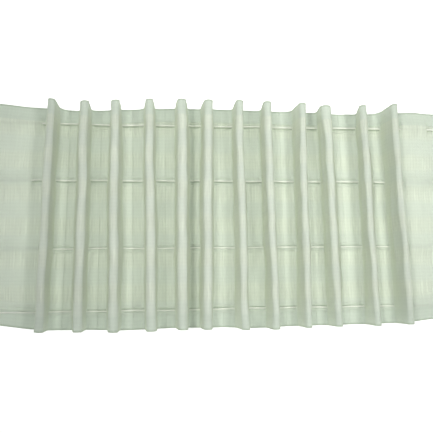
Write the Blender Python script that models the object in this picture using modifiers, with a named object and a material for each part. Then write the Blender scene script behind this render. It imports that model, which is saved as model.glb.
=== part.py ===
import math

import bmesh
import bpy

# A drawn-up pencil-pleat heading tape lying on its back, pleats up.
# X runs along the tape, Y across it and Z up. All lengths are in metres.
TAPE_WIDTH = 0.0800
TAPE_HALF_LENGTH = 0.0980
CLOTH_THICKNESS = 0.0005
PLEAT_WIDTH = 0.0036
FOLD_GAP = 0.0003
FOOT_RADIUS = 0.0008
FOOT_STEPS = 4
CREST_STEPS = 10

# For each pleat: x of its middle at the upper edge and at the lower edge,
# crest height, and how far its left and right walls spread at the foot, in degrees.
PLEATS = (
    (-0.0620, -0.0650, 0.0115, 2.0, 3.0),
    (-0.0505, -0.0520, 0.0115, 8.0, 2.0),
    (-0.0400, -0.0405, 0.0115, 5.0, 6.0),
    (-0.0280, -0.0275, 0.0118, 2.0, 5.0),
    (-0.0165, -0.0170, 0.0115, 2.0, 9.0),
    (-0.0070, -0.0085, 0.0112, 2.0, 8.0),
    (0.0040, 0.0045, 0.0115, 0.0, 8.0),
    (0.0145, 0.0155, 0.0115, -2.0, 9.0),
    (0.0275, 0.0270, 0.0112, -5.0, 12.0),
    (0.0375, 0.0385, 0.0100, -2.0, 20.0),
    (0.0505, 0.0520, 0.0112, -12.0, 20.0),
    (0.0625, 0.0645, 0.0112, 1.0, 2.0),
)

CORD_ROWS = (0.0338, 0.0130, -0.0116, -0.0336)
CORD_RADIUS = 0.0003
CORD_HEIGHT = 0.0012
CORD_HOLE_RADIUS = 0.0006
CORD_HOLE_SIDES = 16
CORD_BEVEL_STEPS = 2

KNOT_END = 0.1006
KNOT_RADIUS = 0.0008
KNOT_PITCH = 0.0008
KNOT_LEAD_TURNS = 0.5
KNOT_TURNS = 2.25
KNOT_STEPS_PER_TURN = 12

CLOTH_COLOUR = (0.80, 0.85, 0.76, 1.0)
CORD_COLOUR = (0.90, 0.93, 0.84, 1.0)
CLOTH_ROUGHNESS = 0.75
CORD_ROUGHNESS = 0.55


def clear_scene():
    for item in list(bpy.data.objects):
        bpy.data.objects.remove(item, do_unlink=True)


def make_collection(name):
    collection = bpy.data.collections.new(name)
    bpy.context.scene.collection.children.link(collection)
    return collection


def make_material(name, colour, roughness):
    material = bpy.data.materials.new(name)
    material.use_nodes = True
    shader = material.node_tree.nodes["Principled BSDF"]
    shader.inputs["Base Color"].default_value = colour
    shader.inputs["Roughness"].default_value = roughness
    return material


def link_with_finish(item, collection, colour, roughness):
    item.data.materials.append(make_material(item.name, colour, roughness))
    collection.objects.link(item)


def crest_middle(pleat, edge):
    """x and z of the centre that the crest curls round, at edge 0 (upper) or 1 (lower)."""
    reach = (PLEAT_WIDTH - CLOTH_THICKNESS) / 2
    return pleat[edge], pleat[2] - CLOTH_THICKNESS / 2 - reach, reach


def wall_line(pleat, edge, side):
    """Top point of a wall, where the crest starts, and the point where it meets the panel."""
    x, z, reach = crest_middle(pleat, edge)
    lean = math.radians(pleat[3] if side < 0 else pleat[4])
    top = (x + side * reach * math.cos(lean), z + reach * math.sin(lean))
    drop = top[1] - CLOTH_THICKNESS / 2
    foot = (top[0] + side * drop * math.tan(lean), CLOTH_THICKNESS / 2)
    return top, foot, lean


def crest_points(pleat, edge):
    x, z, reach = crest_middle(pleat, edge)
    start = math.pi - math.radians(pleat[3])
    end = math.radians(pleat[4])
    turns = [start + (end - start) * i / CREST_STEPS for i in range(1, CREST_STEPS + 1)]
    return [(x + reach * math.cos(a), z + reach * math.sin(a)) for a in turns]


def rounded_corner(before, corner, after):
    """Arc of FOOT_RADIUS in place of a sharp corner."""
    ax, az = before[0] - corner[0], before[1] - corner[1]
    bx, bz = after[0] - corner[0], after[1] - corner[1]
    a_length, b_length = math.hypot(ax, az), math.hypot(bx, bz)
    ax, az, bx, bz = ax / a_length, az / a_length, bx / b_length, bz / b_length
    half = math.acos(ax * bx + az * bz) / 2
    mx, mz = ax + bx, az + bz
    m_length = math.hypot(mx, mz)
    centre_x = corner[0] + mx / m_length * FOOT_RADIUS / math.sin(half)
    centre_z = corner[1] + mz / m_length * FOOT_RADIUS / math.sin(half)
    reach = FOOT_RADIUS / math.tan(half)
    first = math.atan2(corner[1] + az * reach - centre_z, corner[0] + ax * reach - centre_x)
    last = math.atan2(corner[1] + bz * reach - centre_z, corner[0] + bx * reach - centre_x)
    sweep = (last - first + math.pi) % (2 * math.pi) - math.pi
    angles = [first + sweep * i / FOOT_STEPS for i in range(FOOT_STEPS + 1)]
    return [
        (centre_x + FOOT_RADIUS * math.cos(a), centre_z + FOOT_RADIUS * math.sin(a))
        for a in angles
    ]


def cloth_profile(left_pleat, right_pleat, edge):
    """Middle line of one fold of cloth, from the wall on its left over the panel to the crest on its right."""
    left_foot = (-TAPE_HALF_LENGTH, CLOTH_THICKNESS / 2)
    right_foot = (TAPE_HALF_LENGTH, CLOTH_THICKNESS / 2)
    left_top = right_top = None
    if left_pleat:
        top, left_foot, lean = wall_line(left_pleat, edge, 1)
        left_top = (top[0] + FOLD_GAP * math.sin(lean), top[1] - FOLD_GAP * math.cos(lean))
    if right_pleat:
        right_top, right_foot, lean = wall_line(right_pleat, edge, -1)
    points = [left_top, *rounded_corner(left_top, left_foot, right_foot)] if left_pleat else [left_foot]
    if right_pleat:
        points += [*rounded_corner(left_foot, right_foot, right_top), right_top]
        return points + crest_points(right_pleat, edge)
    return points + [right_foot]


def fold_mesh(name, left_pleat, right_pleat):
    """The fold's middle surface, drawn between its profiles at the two edges of the tape."""
    upper = cloth_profile(left_pleat, right_pleat, 0)
    lower = cloth_profile(left_pleat, right_pleat, 1)
    body = bmesh.new()
    row = [body.verts.new((x, -TAPE_WIDTH / 2, z)) for x, z in lower]
    edges = [body.edges.new(pair) for pair in zip(row, row[1:])]
    made = bmesh.ops.extrude_edge_only(body, edges=edges)["geom"]
    drawn = {part for part in made if isinstance(part, bmesh.types.BMVert)}
    for start, (x, z) in zip(row, upper):
        end = next(e.other_vert(start) for e in start.link_edges if e.other_vert(start) in drawn)
        end.co = (x, TAPE_WIDTH / 2, z)
    mesh = bpy.data.meshes.new(name)
    body.to_mesh(mesh)
    body.free()
    return mesh


def add_cord_passages(collection):
    """One cutter that clears the way of every cord through the pleat walls."""
    body = bmesh.new()
    for row in CORD_ROWS:
        made = bmesh.ops.create_cone(
            body,
            cap_ends=True,
            segments=CORD_HOLE_SIDES,
            radius1=CORD_HOLE_RADIUS,
            radius2=CORD_HOLE_RADIUS,
            depth=2 * TAPE_HALF_LENGTH,
        )
        for vert in made["verts"]:
            x, y, z = vert.co
            vert.co = (z, y + row, -x + CORD_HEIGHT)
    mesh = bpy.data.meshes.new("cord_passages")
    body.to_mesh(mesh)
    body.free()
    cutter = bpy.data.objects.new("cord_passages", mesh)
    cutter.hide_render = True
    cutter.display_type = "WIRE"
    collection.objects.link(cutter)
    return cutter


def add_fold(name, left_pleat, right_pleat, cutter, collection):
    fold = bpy.data.objects.new(name, fold_mesh(name, left_pleat, right_pleat))
    link_with_finish(fold, collection, CLOTH_COLOUR, CLOTH_ROUGHNESS)
    cloth = fold.modifiers.new("cloth", "SOLIDIFY")
    cloth.thickness = CLOTH_THICKNESS
    cloth.offset = 0
    cloth.use_even_offset = True
    passages = fold.modifiers.new("cord_passages", "BOOLEAN")
    passages.operation = "DIFFERENCE"
    passages.solver = "EXACT"
    passages.object = cutter


def stopper_knot(row):
    """The cord's right-hand end: it spirals out and is wound back round itself."""
    total = KNOT_LEAD_TURNS + KNOT_TURNS
    steps = round(total * KNOT_STEPS_PER_TURN)
    points = []
    for i in range(steps + 1):
        turn = total * i / steps
        lead = min(turn / KNOT_LEAD_TURNS, 1)
        reach = KNOT_RADIUS * math.sin(lead * math.pi / 2)
        x = KNOT_END - KNOT_PITCH * max(turn - KNOT_LEAD_TURNS, 0)
        angle = 2 * math.pi * turn
        points.append((x, row + reach * math.sin(angle), CORD_HEIGHT + reach * math.cos(angle)))
    return points


def add_cord(name, row, collection):
    right = stopper_knot(row)
    left = [(-x, y, z) for x, y, z in reversed(right)]
    points = left + right
    curve = bpy.data.curves.new(name, "CURVE")
    curve.dimensions = "3D"
    curve.bevel_depth = CORD_RADIUS
    curve.bevel_resolution = CORD_BEVEL_STEPS
    curve.use_fill_caps = True
    line = curve.splines.new("POLY")
    line.points.add(len(points) - 1)
    for point, place in zip(line.points, points):
        point.co = (*place, 1)
    cord = bpy.data.objects.new(name, curve)
    link_with_finish(cord, collection, CORD_COLOUR, CORD_ROUGHNESS)


def build():
    clear_scene()
    tape = make_collection("pencil_pleat_heading_tape")
    cutters = make_collection("cutters")
    cutter = add_cord_passages(cutters)
    add_fold("end_panel_left", None, PLEATS[0], cutter, tape)
    for i, (left_pleat, right_pleat) in enumerate(zip(PLEATS, PLEATS[1:]), start=1):
        add_fold(f"pleat_fold_{i:02d}", left_pleat, right_pleat, cutter, tape)
    add_fold("end_panel_right", PLEATS[-1], None, cutter, tape)
    for i, row in enumerate(CORD_ROWS, start=1):
        add_cord(f"draw_cord_{i}", row, tape)


build()
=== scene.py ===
import math

import bpy
import numpy as np
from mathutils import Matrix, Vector


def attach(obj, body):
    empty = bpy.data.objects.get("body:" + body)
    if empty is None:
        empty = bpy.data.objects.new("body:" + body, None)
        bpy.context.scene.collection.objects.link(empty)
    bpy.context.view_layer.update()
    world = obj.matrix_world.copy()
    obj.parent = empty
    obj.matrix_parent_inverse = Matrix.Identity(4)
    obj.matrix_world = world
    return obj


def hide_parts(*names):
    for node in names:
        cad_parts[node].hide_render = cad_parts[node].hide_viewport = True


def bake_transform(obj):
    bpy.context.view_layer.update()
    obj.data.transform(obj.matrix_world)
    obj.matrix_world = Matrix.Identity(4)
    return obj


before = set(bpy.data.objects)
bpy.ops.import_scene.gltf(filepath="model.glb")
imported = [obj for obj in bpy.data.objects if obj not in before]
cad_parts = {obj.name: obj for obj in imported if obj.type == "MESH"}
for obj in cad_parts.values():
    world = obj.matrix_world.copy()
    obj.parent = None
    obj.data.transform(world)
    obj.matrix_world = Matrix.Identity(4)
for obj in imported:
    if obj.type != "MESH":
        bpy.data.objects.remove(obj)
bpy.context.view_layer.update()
print("frame loaded:", len(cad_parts), "nodes")

mm = 0.001
halfWidth = 40.0 * mm
cordRows = (33.8 * mm, 13.0 * mm, -11.6 * mm, -33.6 * mm)


def smooth(low, high, x):
    t = np.clip((np.asarray(x, float) - low) / (high - low), 0, 1)
    return t * t * (3 - 2 * t)


def bell(x, width):
    return np.exp(-(np.asarray(x, float) / width) ** 2)


def wobble(seed, t, waves=4, longest=40 * mm):
    # a sum of sines that never repeats the same way for two seeds
    draw = np.random.default_rng(seed)
    total = 0
    for k in range(waves):
        length = longest / (1.7 ** k) * draw.uniform(0.8, 1.2)
        total = total + np.sin(2 * np.pi * t / length + draw.uniform(0, 6.28)) / (1.45 ** k)
    return total / 2


def ripple(seed, x, y, sizeX, sizeY, waves=7):
    draw = np.random.default_rng(seed)
    total = 0
    for k in range(waves):
        a, b = draw.normal(0, 1, 2)
        total = total + np.sin(2 * np.pi * (a * x / sizeX + b * y / sizeY) + draw.uniform(0, 6.28))
    return total / math.sqrt(waves)


camera = {
    "place": (-31.4 * mm, -31.5 * mm, 230.0 * mm),
    "turn": (7.879, -6.805, -0.998),  # degrees about x, y and z
    "lens": 52.85,
    "sensor": 36.0,
    "nearest": 0.01,
    "farthest": 20,
}


def addCamera():
    data = bpy.data.cameras.new("camera")
    data.lens = camera["lens"]
    data.sensor_width = camera["sensor"]
    data.clip_start = camera["nearest"]
    data.clip_end = camera["farthest"]
    seer = bpy.data.objects.new("camera", data)
    seer.location = camera["place"]
    seer.rotation_euler = [math.radians(a) for a in camera["turn"]]
    bpy.context.scene.collection.objects.link(seer)
    bpy.context.scene.camera = seer
    print("camera placed")


class Wire:
    # one output of a node, so that sums can be written as sums
    def __init__(self, finish, socket):
        self.finish = finish
        self.socket = socket

    def math(self, operation, other=None, flipped=False):
        pair = [self] if other is None else [other, self] if flipped else [self, other]
        return self.finish.node("ShaderNodeMath", {"operation": operation}, dict(enumerate(pair)))

    def __add__(self, other):
        return self.math("ADD", other)

    def __sub__(self, other):
        return self.math("SUBTRACT", other)

    def __mul__(self, other):
        return self.math("MULTIPLY", other)

    def __truediv__(self, other):
        return self.math("DIVIDE", other)

    def __radd__(self, other):
        return self.math("ADD", other, True)

    def __rsub__(self, other):
        return self.math("SUBTRACT", other, True)

    def __rmul__(self, other):
        return self.math("MULTIPLY", other, True)

    def __rtruediv__(self, other):
        return self.math("DIVIDE", other, True)

    def sine(self):
        return self.math("SINE")

    def size(self):
        return self.math("ABSOLUTE")

    def step(self, low, high):
        return self.finish.node(
            "ShaderNodeMapRange",
            {"interpolation_type": "SMOOTHSTEP"},
            {"Value": self, "From Min": low, "From Max": high, "To Min": 0.0, "To Max": 1.0},
        )

    def spread(self, low, high):
        # 0 to 1 becomes low to high
        return self * (high - low) + low


class Finish:
    # a material and the nodes in it
    def __init__(self, name):
        self.material = bpy.data.materials.new(name)
        self.material.use_nodes = True
        self.tree = self.material.node_tree
        self.tree.nodes.clear()

    def node(self, kind, settings=None, values=None, out=0):
        made = self.tree.nodes.new(kind)
        for name, value in (settings or {}).items():
            setattr(made, name, value)
        for name, value in (values or {}).items():
            if isinstance(value, Wire):
                self.tree.links.new(value.socket, made.inputs[name])
            else:
                made.inputs[name].default_value = value
        if isinstance(out, tuple):
            return [Wire(self, made.outputs[name]) for name in out]
        return Wire(self, made.outputs[out])

    def mix(self, factor, first, second, blend="MIX"):
        settings = {"data_type": "RGBA", "blend_type": blend}
        return self.node("ShaderNodeMix", settings, {0: factor, 6: first, 7: second}, out=2)

    def parts(self, layer):
        # the two coordinates of a UV map, and the map itself
        place = self.node("ShaderNodeUVMap", {"uv_map": layer})
        across, up = self.node("ShaderNodeSeparateXYZ", None, {0: place}, out=("X", "Y"))
        return place, across, up

    def noise(self, place, stretch, detail=2.0, rough=0.5):
        place = self.node("ShaderNodeVectorMath", {"operation": "MULTIPLY"}, {0: place, 1: (*stretch, 1.0)})
        values = {"Vector": place, "Scale": 1.0, "Detail": detail, "Roughness": rough}
        return self.node("ShaderNodeTexNoise", None, values)

    def bump(self, height, strength, distance):
        values = {"Height": height, "Strength": strength, "Distance": distance}
        return self.node("ShaderNodeBump", None, values)

    def output(self, shader):
        self.node("ShaderNodeOutputMaterial", None, {"Surface": shader}, out=())
        return self.material


clothFinish = {
    "plain": (0.815, 0.865, 0.800, 1.0),
    "ribbed": (0.848, 0.888, 0.800, 1.0),
    "header": (0.760, 0.822, 0.758, 1.0),
    "selvedge": (0.52, 0.60, 0.50, 1.0),
    # painted shade: the dark colour laid in the slit beside each cord, where shade falls in its mouth
    "slitShade": (0.30, 0.36, 0.27, 1.0),
    "selvedgeDepth": 0.95,
    # how strongly the painted slit shade darkens the cloth
    "slitShadeDepth": 0.80,
    "roughness": 0.62,
    "specular": 0.35,
    "sheen": 0.8,
    "sheenTint": (0.95, 1.0, 0.76, 1.0),
    "sheenSpread": 0.5,
    "glow": (0.822, 0.867, 0.792, 1.0),  # of the light that comes through
    "through": 0.43,  # share of light that the sheer cloth lets through
    "bumpStrength": 0.6,
    "bumpDepth": 0.18 * mm,
    # where things lie on the cloth, in mm
    "bandPitch": 12.0,
    "bandMiddle": 8.6,
    "ribPitch": 1.05,
    "yarnPitch": 0.34,
    "pickPitch": 0.40,
    "linePitch": 1.3,
    "headerFrom": (34.6, 35.0),
    "selvedgeFrom": (39.1, 39.8),
    "slitPlace": 0.42,  # from the cord's middle
    "slitWidth": (0.12, 0.32),
    "slitTop": (0.85, 1.15),  # higher up a pleat there is no slit
    # how much each pattern lightens or darkens the cloth
    "cloudLight": 0.075,
    "ribLight": 0.12,
    "streakLight": 0.10,
    "netLight": 0.045,
    "lineLight": 0.018,
    # how much each pattern raises it
    "ribRaise": 0.5,
    "netRaise": 0.35,
    "lineRaise": 0.10,
    "edgeRaise": 1.2,
    "grainRaise": 0.3,
}

# uneven patches in the weave: cells per mm along and across the band, detail, roughness
clothPatches = {
    "cloud": ((0.10, 0.07), 3.0, 0.5),
    "drift": ((0.45, 0.035), 2.0, 0.5),
    "streak": ((1.6, 0.05), 3.0, 0.6),
    "grain": ((2.5, 2.5), 2.0, 0.6),
    "thread": ((1.15, 0.11), 2.0, 0.6),
    # uneven strength of the painted slit shade
    "slitShadeFade": ((0.16, 0.02), 1.0, 0.5),
}


def threads(u, v, patch, ribbed, body):
    # the ribs that run across the band, the fine net of yarns, and the faint lines along it
    look = clothFinish
    turn = 2 * math.pi
    thread = patch["thread"].step(0.36, 0.64) * 2.0 - 1.0
    rib = (u * (turn / look["ribPitch"]) + patch["drift"] * 8.0).sine() * 0.55 + thread * 0.6
    rib = rib * ((ribbed * 0.85 + 0.15) * body * patch["streak"].step(0.38, 0.62))
    net = (u * (turn / look["yarnPitch"])).sine() * (v * (turn / look["pickPitch"])).sine()
    line = (v * (turn / look["linePitch"]) + patch["grain"] * 1.5).sine()
    return rib, net, line


def slitShadeMask(f, patch):
    # painted shade: a dark line beside each cord where it dives into the cloth, standing for the shadow in
    # the slit's mouth, fainter in some places
    look = clothFinish
    _, away, rise = f.parts("spot")
    near = 1 - (away + look["slitPlace"]).size().step(*look["slitWidth"])
    low = 1 - rise.step(*look["slitTop"])
    return near * low * patch["slitShadeFade"].step(0.30, 0.60).spread(0.45, 1.0)


def clothMaterial():
    look = clothFinish
    f = Finish("sheer_banded_weave")
    place, u, v = f.parts("weave")
    patch = {name: f.noise(place, *settings) for name, settings in clothPatches.items()}
    turn = 2 * math.pi

    band = ((v - look["bandMiddle"]) * (turn / look["bandPitch"]) + turn / 4).sine()
    ribbed = (band + patch["drift"].spread(-0.6, 0.6)).step(-0.6, 0.6)
    header = v.size().step(*look["headerFrom"])
    edge = v.size().step(*look["selvedgeFrom"])
    rib, net, line = threads(u, v, patch, ribbed, 1 - header)

    light = patch["cloud"].spread(-look["cloudLight"], look["cloudLight"]) + 0.99
    light = light + rib * look["ribLight"] + patch["streak"].spread(-look["streakLight"], look["streakLight"])
    light = light + net * look["netLight"] + line * look["lineLight"]
    grey = f.node("ShaderNodeCombineColor", None, {0: light, 1: light, 2: light})
    tone = f.mix(ribbed, look["plain"], look["ribbed"])
    tone = f.mix(header, tone, look["header"])
    tone = f.mix(1.0, tone, grey, "MULTIPLY")
    tone = f.mix(edge * look["selvedgeDepth"], tone, look["selvedge"])
    # painted shade in the slit beside each cord
    tone = f.mix(slitShadeMask(f, patch) * look["slitShadeDepth"], tone, look["slitShade"])

    height = rib * look["ribRaise"] + net * look["netRaise"] + line * look["lineRaise"]
    height = height + edge * look["edgeRaise"] + patch["grain"] * look["grainRaise"]
    normal = f.bump(height, look["bumpStrength"], look["bumpDepth"])
    surface = f.node("ShaderNodeBsdfPrincipled", None, {
        "Base Color": tone,
        "Roughness": patch["streak"].spread(-0.08, 0.08) + look["roughness"],
        "Sheen Weight": look["sheen"],
        "Sheen Tint": look["sheenTint"],
        "Sheen Roughness": look["sheenSpread"],
        "Specular IOR Level": look["specular"],
        "Normal": normal,
    })
    glow = f.node("ShaderNodeBsdfTranslucent", None, {"Color": look["glow"], "Normal": normal})
    shader = f.node("ShaderNodeMixShader", None, {0: look["through"], 1: surface, 2: glow})
    return f.output(shader)


cordFinish = {
    "fibre": (0.93, 0.95, 0.88, 1.0),
    # painted shade: the darker colour in the grooves between the plies
    "grooveShade": (0.76, 0.80, 0.70, 1.0),
    "roughness": 0.5,
    "sheen": 0.3,
    "sheenSpread": 0.4,
    "plies": 3.0,
    "plyPitch": 0.8,  # mm from one ply to the next along the cord
    "fuzz": ((3.0, 8.0), 3.0),
    "bumpStrength": 0.5,
    "bumpDepth": 0.08 * mm,
}


def cordMaterial():
    look = cordFinish
    f = Finish("twisted_white_cord")
    place, u, v = f.parts("weave")
    ply = ((v * look["plies"] - u / look["plyPitch"]) * (2 * math.pi)).sine()
    fuzz = f.noise(place, *look["fuzz"])
    surface = f.node("ShaderNodeBsdfPrincipled", None, {
        # the grooves between the plies get painted shade
        "Base Color": f.mix(ply.step(-1.0, 0.2), look["grooveShade"], look["fibre"]),
        "Roughness": fuzz.spread(-0.1, 0.1) + look["roughness"],
        "Sheen Weight": look["sheen"],
        "Sheen Roughness": look["sheenSpread"],
        "Normal": f.bump(ply * 0.6 + fuzz, look["bumpStrength"], look["bumpDepth"]),
    })
    return f.output(surface)


cord = {
    "radius": 0.30 * mm,
    "height": 1.2 * mm,
    "knotEnd": 100.6 * mm,
    "knotRadius": 0.8 * mm,
    "knotPitch": 0.8 * mm,
    "leadTurns": 0.5,
    "turns": 2.25,
    "stepsPerTurn": 16,
    "step": 0.30 * mm,
    "sides": 15,
    "twist": 2.4 * mm,  # one full turn of the plies
    "plyDepth": 0.11,
    "plies": 3,
    "sway": 0.12 * mm,  # how far a cord strays sideways
    "swayLength": 26 * mm,
    "swayEnds": (70 * mm, 90 * mm),  # it runs straight beyond these places
}


def sway(k, x):
    # how far cord k strays sideways at x
    strays = cord["sway"] * ripple(40 + k, x, 0 * x, cord["swayLength"], 1)
    return strays * (1 - smooth(*cord["swayEnds"], abs(x)))


def fromCord(x, y):
    # distance from the nearest cord, positive towards the tape's long edge
    gaps = [(y - row - sway(k, x)) * (1 if row > 0 else -1) for k, row in enumerate(cordRows)]
    gaps = np.array(gaps)
    nearest = np.abs(gaps).argmin(0)
    return np.take_along_axis(gaps, nearest[None], 0)[0]


def knotRoute(row):
    total = cord["leadTurns"] + cord["turns"]
    turn = np.linspace(0, total, round(total * cord["stepsPerTurn"]) + 1)
    reach = cord["knotRadius"] * np.sin(np.clip(turn / cord["leadTurns"], 0, 1) * math.pi / 2)
    x = cord["knotEnd"] - cord["knotPitch"] * np.clip(turn - cord["leadTurns"], 0, None)
    angle = 2 * math.pi * turn
    y = row + reach * np.sin(angle)
    z = cord["height"] + reach * np.cos(angle)
    return np.stack([x, y, z], 1)


def cordRoute(row):
    right = knotRoute(row)
    left = right[::-1] * (-1, 1, 1)
    span = right[0, 0] - left[-1, 0]
    inner = np.linspace(left[-1], right[0], round(span / cord["step"]))[1:-1]
    inner[:, 1] += sway(cordRows.index(row), inner[:, 0])
    return np.concatenate([left, inner, right])


def routeSides(route):
    # directions across and up at each point of a route, carried along without twisting
    ahead = np.gradient(route, axis=0)
    ahead /= np.linalg.norm(ahead, axis=1)[:, None]
    across = np.zeros_like(route)
    side = np.array((0.0, 1.0, 0.0))
    for i, way in enumerate(ahead):
        side = side - way * (side @ way)
        side /= np.linalg.norm(side)
        across[i] = side
    return across, np.cross(ahead, across)


def tube(name, route, material):
    across, up = routeSides(route)
    run = np.r_[0, np.cumsum(np.linalg.norm(np.diff(route, axis=0), axis=1))]
    n = cord["sides"]
    angle = np.arange(n) * 2 * math.pi / n
    ply = cord["plies"] * (angle[None] - 2 * math.pi * run[:, None] / cord["twist"])
    reach = cord["radius"] * (1 + cord["plyDepth"] * np.cos(ply)) / (1 + cord["plyDepth"])
    ring = (
        route[:, None]
        + across[:, None] * (np.cos(angle) * reach)[..., None]
        + up[:, None] * (np.sin(angle) * reach)[..., None]
    )
    faces = []
    uvs = []
    for i in range(len(route) - 1):
        a, b = run[i] / mm, run[i + 1] / mm
        for k in range(n):
            j = (k + 1) % n
            faces.append((i * n + k, i * n + j, (i + 1) * n + j, (i + 1) * n + k))
            uvs += [(a, k / n), (a, (k + 1) / n), (b, (k + 1) / n), (b, k / n)]
    first = tuple(range(n))[::-1]
    last = tuple((len(route) - 1) * n + k for k in range(n))
    faces += [first, last]
    uvs += [(0, 0)] * n + [(run[-1] / mm, 0)] * n
    return makePiece(name, ring.reshape(-1, 3), faces, uvs, material, flatFaces=2)


def makePiece(name, points, faces, uvs, material, flatFaces=0):
    # the last flatFaces faces are shaded flat, the others smooth
    mesh = bpy.data.meshes.new(name)
    mesh.from_pydata([tuple(p) for p in points], [], faces)
    corners = np.concatenate([np.asarray(f) for f in faces])
    spot = np.stack([fromCord(points[:, 0], points[:, 1]), points[:, 2]], 1) / mm
    for layer, values in (("spot", spot[corners]), ("weave", uvs)):
        mesh.uv_layers.new(name=layer).data.foreach_set("uv", np.asarray(values, np.float32).ravel())
    shade = np.ones(len(faces), bool)
    shade[len(faces) - flatFaces:] = False
    mesh.polygons.foreach_set("use_smooth", shade)
    mesh.materials.append(material)
    mesh.update()
    piece = bpy.data.objects.new(name, mesh)
    bpy.context.scene.collection.objects.link(piece)
    return piece


def addCords(material):
    for i, row in enumerate(cordRows, start=1):
        piece = tube(f"drawCord{i}", cordRoute(row), material)
        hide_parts(f"draw_cord_{i}")
        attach(piece, "left_end")
    print("draw cords laid:", len(cordRows))


cloth = {
    "thickness": 0.14 * mm,
    "joinThickness": 0.4,  # share of it that is left at a join
    "fade": 2.5 * mm,  # the cloth thins over this length towards each join
    "rest": 0.25 * mm,  # height of the cloth's middle above the table
    "end": 98.0 * mm,
    "joinShift": 0.15 * mm,
    "crestRadius": 1.55 * mm,
    "crestDrop": 0.25 * mm,
    "foot": 1.3 * mm,
    "belly": 0.22 * mm,  # how far a wall swells outward half way up
    "rowStep": 0.8 * mm,
    "nearCord": 0.18 * mm,  # step between rows close to a cord
    "columns": {"panel": 12, "end": 46, "foot": 7, "wall": 12, "crest": 16},
    "flare": 0.5 * mm,  # how far the crests stand out past the edges
    "flareHeight": 11.5 * mm,
    "crumple": 0.10 * mm,
}

# the cloth beside and over the cords
lip = {
    "height": 0.60 * mm,
    "reach": 1.7 * mm,
    "inner": 0.5 * mm,
    "edge": (0.12 * mm, 0.42 * mm),
    "cover": 1.42 * mm,
    "coverWidth": 2.6 * mm,
    "coverFade": 0.8,  # mm
    "swell": 0.40 * mm,
    "swellWidth": 5 * mm,
    "tucks": ((1.3 * mm, 0.34 * mm), (2.4 * mm, 0.20 * mm)),  # distance from the cord, height
    "tuckWidth": 0.26 * mm,
    "tuckLength": 24 * mm,
}

# stretches of each end panel where a cord runs hidden in its woven channel
hidden = (
    ((-97.5, -66.0), (68.5, 79.5)),
    ((-97.5, -69.5), (68.5, 80.5)),
    ((-97.5, -66.0), (69.0, 97.5)),
    ((-97.5, -80.5), (69.0, 97.5)),
)

# for each pleat: how far its left and right walls lean out at the foot, in degrees, at the upper edge,
# the middle and the lower edge; how wide its left and right skirts are at the upper and at the lower
# edge; and its crest's radius at the upper edge, the middle and the lower edge, in mm
pleats = (
    {"left": (2, 2, 3), "right": (4, 3, 2),
     "skirtUp": (1.0, 3.2), "skirtDown": (1.4, 1.6), "crest": (1.3, 1.45, 1.45)},
    {"left": (4, 9, 8), "right": (2, 3, 3),
     "skirtUp": (1.2, 2.2), "skirtDown": (2.0, 1.4), "crest": (1.5, 1.55, 1.5)},
    {"left": (2, 7, 4), "right": (2, 8, 4),
     "skirtUp": (1.0, 1.0), "skirtDown": (1.8, 1.4), "crest": (1.45, 1.5, 1.6)},
    {"left": (2, 2, 3), "right": (5, 5, 4),
     "skirtUp": (2.6, 1.6), "skirtDown": (1.4, 1.5), "crest": (1.4, 1.6, 1.65)},
    {"left": (2, 2, 3), "right": (8, 9, 6),
     "skirtUp": (1.1, 1.2), "skirtDown": (1.4, 1.4), "crest": (1.65, 1.75, 1.65)},
    {"left": (2, 2, 3), "right": (5, 9, 6),
     "skirtUp": (1.0, 2.0), "skirtDown": (1.4, 1.4), "crest": (1.55, 1.6, 1.6)},
    {"left": (0, 2, 5), "right": (4, 9, 8),
     "skirtUp": (1.8, 1.0), "skirtDown": (1.8, 1.4), "crest": (1.25, 1.35, 1.35)},
    {"left": (-3, 1, 4), "right": (4, 9, 9),
     "skirtUp": (1.9, 1.0), "skirtDown": (1.8, 1.4), "crest": (1.45, 1.4, 1.3)},
    {"left": (5, 1, 5), "right": (6, 13, 9),
     "skirtUp": (2.8, 1.0), "skirtDown": (2.0, 1.4), "crest": (1.35, 1.25, 1.15)},
    {"left": (-3, 2, 7), "right": (12, 21, 14),
     "skirtUp": (2.2, 2.0), "skirtDown": (2.0, 1.6), "crest": (1.85, 1.4, 1.15)},
    {"left": (-12, -5, 3), "right": (14, 21, 16),
     "skirtUp": (1.0, 1.2), "skirtDown": (1.8, 1.4), "crest": (1.25, 1.2, 1.1)},
    {"left": (7, 7, 6), "right": (2, 3, 3),
     "skirtUp": (3.2, 1.0), "skirtDown": (2.2, 1.4), "crest": (1.3, 1.2, 1.2)},
)


folds = ["end_panel_left", *[f"pleat_fold_{i:02d}" for i in range(1, 12)], "end_panel_right"]


def crestLine(node):
    # x and height of a pleat's crest at the lower and the upper edge of the tape
    points = np.array([v.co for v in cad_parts[node].data.vertices])
    ends = []
    for side in (-1, 1):
        edge = points[abs(points[:, 1] - side * halfWidth) < 0.1 * mm]
        top = edge[:, 2].max()
        upper = edge[edge[:, 2] > top - 0.1 * mm]
        ends.append(((upper[:, 0].min() + upper[:, 0].max()) / 2, top))
    return ends


crests = [crestLine(node) for node in folds[:-1]]


def along(ends, y):
    t = (y + halfWidth) / (2 * halfWidth)
    return ends[0] + (ends[1] - ends[0]) * t


def through(three, y):
    # a smooth curve through the values at the upper edge, the middle and the lower edge
    upper, middle, lower = three
    t = y / halfWidth
    return np.where(t > 0, middle + (upper - middle) * t * t, middle + (lower - middle) * t * t)


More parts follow.
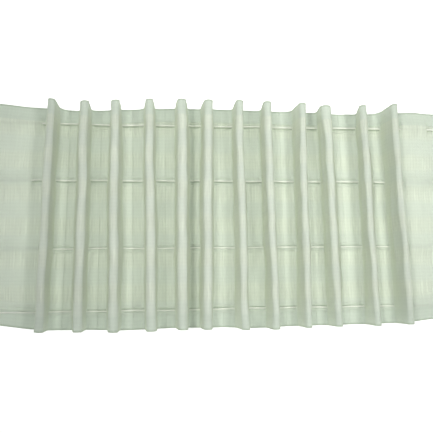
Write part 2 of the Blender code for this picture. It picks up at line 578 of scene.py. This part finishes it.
def rowPlaces():
    # where the mesh has rows across the band, closer together beside the cords and at the edges
    places = list(np.arange(-halfWidth, halfWidth + 1e-9, cloth["rowStep"]))
    for row in cordRows:
        near = np.arange(-9, 10) * cloth["nearCord"] + row
        places = [y for y in places if not near[0] - 0.1 * mm < y < near[-1] + 0.1 * mm]
        places += list(near)
    edge = [halfWidth - d * mm for d in (0.0, 0.25, 0.5)]
    places = [y for y in places if abs(y) < halfWidth - 0.6 * mm] + edge + [-y for y in edge]
    return np.array(sorted(set(np.round(places, 7))))


rows = rowPlaces()


def covered(row, x):
    # 1 where a cord runs hidden under the cloth
    fade = lip["coverFade"]
    total = 0
    for low, high in hidden[row]:
        inside = smooth(low - fade, low + fade, x / mm) * (1 - smooth(high - fade, high + fade, x / mm))
        total = total + inside
    return total


def panelLift(x, y):
    # how far the cloth between the pleats stands above its resting height
    total = 0.05 * mm * ripple(11, x, y, 9 * mm, 14 * mm) + 0.06 * mm
    ends = 1 - smooth(-74, -66, x / mm) + smooth(68, 76, x / mm)
    between = 0
    for k, row in enumerate(cordRows):
        off = y - row - sway(k, x)
        out = off * (1 if row > 0 else -1)
        cover = covered(k, x)
        shelf = lip["height"] * smooth(lip["reach"], lip["inner"], out) * smooth(*lip["edge"], out)
        total = total + shelf * (1 - cover)
        total = total + lip["cover"] * bell(off, lip["coverWidth"]) * cover
        between = between + bell(y - row, lip["swellWidth"])
        for away, height in lip["tucks"]:
            strength = 0.5 + 0.5 * np.sin(1.6 * ripple(60 + k, x, y * 0, lip["tuckLength"], 1) + 0.4)
            total = total + height * strength * bell(out + away, lip["tuckWidth"]) * (1 - cover)
    total = total + ends * lip["swell"] * np.clip(1 - between, 0, 1) * smooth(40, 36, abs(y) / mm)
    return np.maximum(total, 0)


# small folds along a pleat's wall, lengths in mm:
# pleat, side, height up the wall, from y, to y, how far it stands out, how wide
wallFolds = (
    (10, 1, 4.2, -4, 32, 0.60, 0.9),
    (9, 1, 4.4, -35, -4, 0.45, 0.9),
    (8, 1, 4.0, -31, 6, 0.30, 0.8),
    (11, -1, 5.5, -24, 14, 0.30, 1.1),
    (9, -1, 5.0, 4, 30, 0.25, 1.0),
    (6, -1, 4.5, -24, 8, 0.25, 0.9),
    (4, 1, 4.0, -30, -6, 0.28, 0.8),
    (2, 1, 4.6, -28, 4, 0.30, 0.9),
    (1, 1, 5.0, 0, 28, 0.25, 0.9),
    (0, 1, 4.5, -30, -4, 0.25, 0.9),
)


def wallFold(i, side, y, z):
    # how far the small folds push a wall outward
    total = 0
    for pleat, wall, height, low, high, out, width in wallFolds:
        if pleat == i and wall == side:
            reach = smooth(low, low + 9, y / mm) * smooth(high, high - 9, y / mm)
            middle = (height + 0.4 * np.sin(y / (5 * mm))) * mm
            total = total + out * mm * reach * bell(z - middle, width * mm)
    return total


def seamPlace(i, y):
    # x of the join between pleat i and pleat i + 1, half way across the panel
    if i < 0:
        return np.full_like(y, -cloth["end"])
    if i >= len(crests) - 1:
        return np.full_like(y, cloth["end"])
    a = along([e[0] for e in crests[i]], y)
    b = along([e[0] for e in crests[i + 1]], y)
    return (a + b) / 2 + cloth["joinShift"]


def crestShape(i, y):
    # radius of a crest and x and height of its centre, for each row
    xs, zs = [e[0] for e in crests[i]], [e[1] for e in crests[i]]
    r = through(pleats[i]["crest"], y) * mm * (1 + 0.05 * wobble(100 + i, y, 4, 30 * mm))
    top = along(zs, y) - cloth["crestDrop"] + 0.18 * mm * wobble(200 + i, y, 3, 50 * mm)
    x = along(xs, y) + 0.16 * mm * wobble(300 + i, y, 3, 60 * mm)
    if i >= len(pleats) // 2:
        x = x + (cloth["crestRadius"] - r) * 0.8  # the ridge stays on the right
    return r, x, top - r


def footRadius(i, k, y):
    # a foot's rounding, which widens into a skirt at both edges of the band
    foot = cloth["foot"] * (1 + 0.25 * wobble(500 + 20 * i + k, y, 3, 30 * mm))
    up = smooth(halfWidth - 9 * mm, halfWidth, y) ** 1.5
    down = smooth(-halfWidth + 7 * mm, -halfWidth, y) ** 1.5
    widerUp = (pleats[i]["skirtUp"][k] * mm - foot) * up
    widerDown = (pleats[i]["skirtDown"][k] * mm - foot) * down
    return foot + widerUp + widerDown


def pleatSide(i, side, y, crest):
    # x and z of half a pleat, from its seam over the foot and up the wall, and the wall's lean
    k, name = (0, "left") if side < 0 else (1, "right")
    r, crestX, crestZ = crest
    count = cloth["columns"]
    lean = np.radians(through(pleats[i][name], y) + 1.2 * wobble(400 + 20 * i + k, y, 4, 35 * mm))
    foot = footRadius(i, k, y)
    rest = np.full_like(y, cloth["rest"])
    topX = r * np.cos(lean)
    topZ = crestZ + r * np.sin(lean)
    length = (topZ - rest - foot + foot * np.sin(lean)) / np.cos(lean)
    middle = topX + length * np.sin(lean) + foot * np.cos(lean)

    seam = np.abs(seamPlace(i - 1 if side < 0 else i, y) - crestX)
    atEnd = i == (0 if side < 0 else len(pleats) - 1)
    t = np.linspace(0, 1, count["end" if atEnd else "panel"] + 1)[:-1]
    panelX = seam[:, None] + (middle - seam)[:, None] * t
    panelZ = np.broadcast_to(rest[:, None], panelX.shape)

    a = np.linspace(0, 1, count["foot"] + 1)
    angle = -math.pi / 2 + (math.pi / 2 - lean)[:, None] * a
    footX = middle[:, None] - foot[:, None] * np.cos(angle)
    footZ = (rest + foot)[:, None] + foot[:, None] * np.sin(angle)

    w = np.linspace(0, 1, count["wall"] + 1)[1:]
    wallX = footX[:, -1:] + (topX[:, None] - footX[:, -1:]) * w
    wallZ = footZ[:, -1:] + (topZ[:, None] - footZ[:, -1:]) * w
    belly = cloth["belly"] * (1 + 0.6 * wobble(600 + 20 * i + k, y, 3, 40 * mm))
    belly = belly * (0.35 + 0.65 * smooth(halfWidth, halfWidth - 12 * mm, abs(y)))
    wallX = wallX + belly[:, None] * np.sin(math.pi * w) ** 2
    x = crestX[:, None] + side * np.concatenate([panelX, footX, wallX], 1)
    return x, np.concatenate([panelZ, footZ, wallZ], 1), lean


def pleatProfile(i, y):
    # x and z of the cloth's middle, one line for each row, from seam to seam
    crest = crestShape(i, y)
    r, crestX, crestZ = crest
    leftX, leftZ, leftLean = pleatSide(i, -1, y, crest)
    rightX, rightZ, rightLean = pleatSide(i, 1, y, crest)
    c = np.linspace(0, 1, cloth["columns"]["crest"] + 1)[1:-1]
    angle = (math.pi - leftLean)[:, None] + (rightLean - math.pi + leftLean)[:, None] * c
    overX = crestX[:, None] + r[:, None] * np.cos(angle)
    overZ = crestZ[:, None] + r[:, None] * np.sin(angle)
    x = np.concatenate([leftX, overX, rightX[:, ::-1]], 1)
    z = np.concatenate([leftZ, overZ, rightZ[:, ::-1]], 1)
    return x, z


# how far the tape's two long edges wander across, (x, shift) in mm
edgeShift = {
    "upper": (
        (-98, 1.5), (-80, 1.1), (-71, 0.1), (-62, -0.3), (-55, -0.9), (-46, -0.7), (-38, -0.2), (-30, 0.1),
        (-20, 0.6), (0, 0.6), (15, 0.3), (30, 0.1), (42, -0.4), (52, -0.3), (66, 0.5), (75, 0.9), (80, 0.4),
        (98, 0.0),
    ),
    "lower": (
        (-98, 3.6), (-80, 2.2), (-74, 1.3), (-70, 0.7), (-64, 0.1), (-50, 0.0), (-36, -0.5), (-20, 0.0),
        (0, -0.2), (10, -0.7), (25, -0.2), (40, -0.2), (60, 0.0), (70, 0.4), (76, 1.1), (80, 1.4), (98, 2.6),
    ),
}

# corners of the end panels that lift off the table: x from, x to, y from, y to, height, all in mm
cornerLifts = (
    (-68, -98, -24, -40, 2.6),
    (74, 98, -26, -40, 3.2),
    (-74, -98, 26, 40, 1.2),
)


def shiftAlong(name, x):
    # how far an edge wanders at x, with the table's corners rounded off
    table = np.array(edgeShift[name], float)
    fine = np.linspace(-98, 98, 393)
    bent = np.interp(fine, table[:, 0], table[:, 1])
    weights = np.hanning(13)
    padded = np.pad(bent, 6, mode="edge")
    bent = np.convolve(padded, weights / weights.sum(), mode="valid")
    return np.interp(x / mm, fine, bent) * mm


def pleatSurface(i):
    # the cloth's middle as a grid of points, rows across the band and columns along it
    x, z = pleatProfile(i, rows)
    y = np.broadcast_to(rows[:, None], x.shape).copy()
    low = 1 - smooth(0.0 * mm, 2.0 * mm, z - cloth["rest"])
    half = x.shape[1] // 2
    x[:, :half] -= wallFold(i, -1, y[:, :half], z[:, :half])
    x[:, half:] += wallFold(i, 1, y[:, half:], z[:, half:])
    z = z + panelLift(x, y) * low
    tall = smooth(2 * mm, 10 * mm, z)
    column = x * 0 + np.arange(x.shape[1]) * 0.4 * mm
    x = x + cloth["crumple"] * tall * ripple(700 + i, column, y, 6 * mm, 22 * mm)
    out = cloth["flare"] * (z / cloth["flareHeight"]) ** 2
    y = y + out * (smooth(30 * mm, 40 * mm, y) - smooth(-30 * mm, -40 * mm, y))
    shift = shiftAlong("upper", x) * smooth(15 * mm, 40 * mm, y)
    shift = shift + shiftAlong("lower", x) * smooth(-22 * mm, -40 * mm, y)
    corner = 0
    for fromX, toX, fromY, toY, height in cornerLifts:
        corner = corner + smooth(fromX, toX, x / mm) * smooth(fromY, toY, y / mm) * height * mm
    return np.stack([x, y + shift, z + corner], 2)


def surfaceNormals(grid):
    du = np.gradient(grid, axis=1)
    du[:, (0, -1)] = (1, 0, 0)  # level at the joins, so that neighbours meet smoothly
    dv = np.gradient(grid, axis=0)
    n = np.cross(du, dv)
    return n / np.linalg.norm(n, axis=2)[..., None]


def shellThickness(i, run):
    # the cloth thins towards its joins with the neighbouring pleats
    fromLeft = run - run[:, :1] if i > 0 else run * 0 + 1
    fromRight = run[:, -1:] - run if i < len(pleats) - 1 else run * 0 + 1
    body = smooth(0, cloth["fade"], np.minimum(fromLeft, fromRight))
    left = cloth["joinThickness"]
    return cloth["thickness"] / 2 * (left + (1 - left) * body)


def shellFaces(height, width):
    # upper skin, lower skin and rim of a closed shell on a grid of points
    below = height * width
    index = np.arange(below).reshape(height, width)
    a, b, c, d = index[:-1, :-1], index[:-1, 1:], index[1:, 1:], index[1:, :-1]
    upper = np.stack([a, b, c, d], 2).reshape(-1, 4)
    lower = np.stack([a, d, c, b], 2).reshape(-1, 4) + below
    rim = np.concatenate([index[0], index[1:, -1], index[-1, :-1][::-1], index[:-1, 0][::-1][:-1]])
    after = np.roll(rim, -1)
    wall = np.stack([rim + below, after + below, after, rim], 1)
    return np.concatenate([upper, lower, wall]), len(wall)


def addPleat(i, startRun, material):
    # startRun is the length of cloth before this pleat, for each row
    grid = pleatSurface(i)
    steps = np.linalg.norm(np.diff(grid, axis=1), axis=2)
    run = startRun[:, None] + np.concatenate([np.zeros((len(rows), 1)), np.cumsum(steps, axis=1)], 1)
    run = np.broadcast_to(run.mean(0), run.shape)
    n = surfaceNormals(grid) * shellThickness(i, run)[..., None]
    points = np.concatenate([(grid + n).reshape(-1, 3), (grid - n).reshape(-1, 3)])
    faces, rimFaces = shellFaces(*run.shape)
    uv = np.stack([run / mm, np.broadcast_to(rows[:, None] / mm, run.shape)], 2).reshape(-1, 2)
    uvs = uv[faces.ravel() % run.size]
    piece = makePiece(f"pleatCloth{i + 1:02d}", points, faces.tolist(), uvs, material, flatFaces=rimFaces)
    flatLength = float(run[:, -1].mean() - startRun.mean())
    print(f"pleat {i + 1}: {len(faces)} faces, {flatLength / mm:.1f} mm of cloth")
    return piece, run[:, -1], flatLength


def blendEnds(i):
    # the two feet of a pleat, on a line square to its crest
    (xLow, _), (xHigh, _) = crests[i]
    way = np.array((2 * halfWidth, xLow - xHigh))
    way /= np.linalg.norm(way)
    middle = (xLow + xHigh) / 2
    reach = [
        2.6 * mm + 9 * mm * math.tan(math.radians(max(pleats[i][side][1], 0))) for side in ("left", "right")
    ]
    start = (middle - reach[0] * way[0], -reach[0] * way[1], 0)
    end = (middle + reach[1] * way[0], reach[1] * way[1], 0)
    return start, end


def addCloth(material):
    run = np.zeros(len(rows))
    for i in range(len(pleats)):
        piece, run, flatLength = addPleat(i, run, material)
        start, end = blendEnds(i)
        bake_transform(piece)
        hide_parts(folds[i])
        if i == len(pleats) - 1:
            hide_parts(folds[i + 1])
    print(f"cloth made: {run.mean() / mm:.0f} mm long when flat")


studio = {
    "floor": (0.93, 0.93, 0.93, 1.0),
    "floorSize": 3.0,
    "floorRoughness": (0.75, 0.85),
    "floorSpeck": (400.0, 400.0),
    "floorGlow": 0.60,
    "glowColour": (1.0, 1.0, 1.0, 1.0),
    "sky": (0.96, 0.98, 1.0, 1.0),
    "skyStrength": 0.405,
    "lampPlaces": ((-0.130, 0.000, 0.34), (0.140, 0.000, 0.34)),
    "lampAim": (0.021, 0.018, 0.0),
    "lampSize": 0.04,
    "lampWatts": 2.65,
    "lampColour": (1.0, 1.0, 0.95),
    "lampCone": 41.5,  # degrees
}


def tableMaterial():
    f = Finish("plain_pale_table")
    place = f.node("ShaderNodeTexCoord", out="Object")
    surface = f.node("ShaderNodeBsdfPrincipled", None, {
        "Base Color": studio["floor"],
        "Roughness": f.noise(place, studio["floorSpeck"]).spread(*studio["floorRoughness"]),
        "Specular IOR Level": 0.1,
        "Emission Color": studio["glowColour"],
        "Emission Strength": studio["floorGlow"],
    })
    return f.output(surface)


def addLamp(name, place):
    data = bpy.data.lights.new(name, "SPOT")
    data.shadow_soft_size = studio["lampSize"]
    data.energy = studio["lampWatts"]
    data.color = studio["lampColour"]
    data.spot_size = math.radians(studio["lampCone"])
    data.spot_blend = 1.0
    lamp = bpy.data.objects.new(name, data)
    lamp.location = place
    aim = Vector(studio["lampAim"]) - Vector(place)
    lamp.rotation_euler = aim.to_track_quat("-Z", "Y").to_euler()
    lamp.visible_camera = False
    bpy.context.scene.collection.objects.link(lamp)


def addStudio():
    size = studio["floorSize"]
    corners = [(-size, -size, 0), (size, -size, 0), (size, size, 0), (-size, size, 0)]
    mesh = bpy.data.meshes.new("table")
    mesh.from_pydata(corners, [], [(0, 1, 2, 3)])
    mesh.materials.append(tableMaterial())
    table = bpy.data.objects.new("table", mesh)
    bpy.context.scene.collection.objects.link(table)
    world = bpy.data.worlds.new("soft_sky")
    bpy.context.scene.world = world
    world.use_nodes = True
    sky = world.node_tree.nodes["Background"]
    sky.inputs["Color"].default_value = studio["sky"]
    sky.inputs["Strength"].default_value = studio["skyStrength"]
    for name, place in zip(("leftLamp", "rightLamp"), studio["lampPlaces"]):
        addLamp(name, place)
    bpy.context.scene.view_settings.view_transform = "Standard"
    print("studio lit")


addCamera()
addCords(cordMaterial())
addCloth(clothMaterial())
addStudio()
bpy.context.view_layer.update()
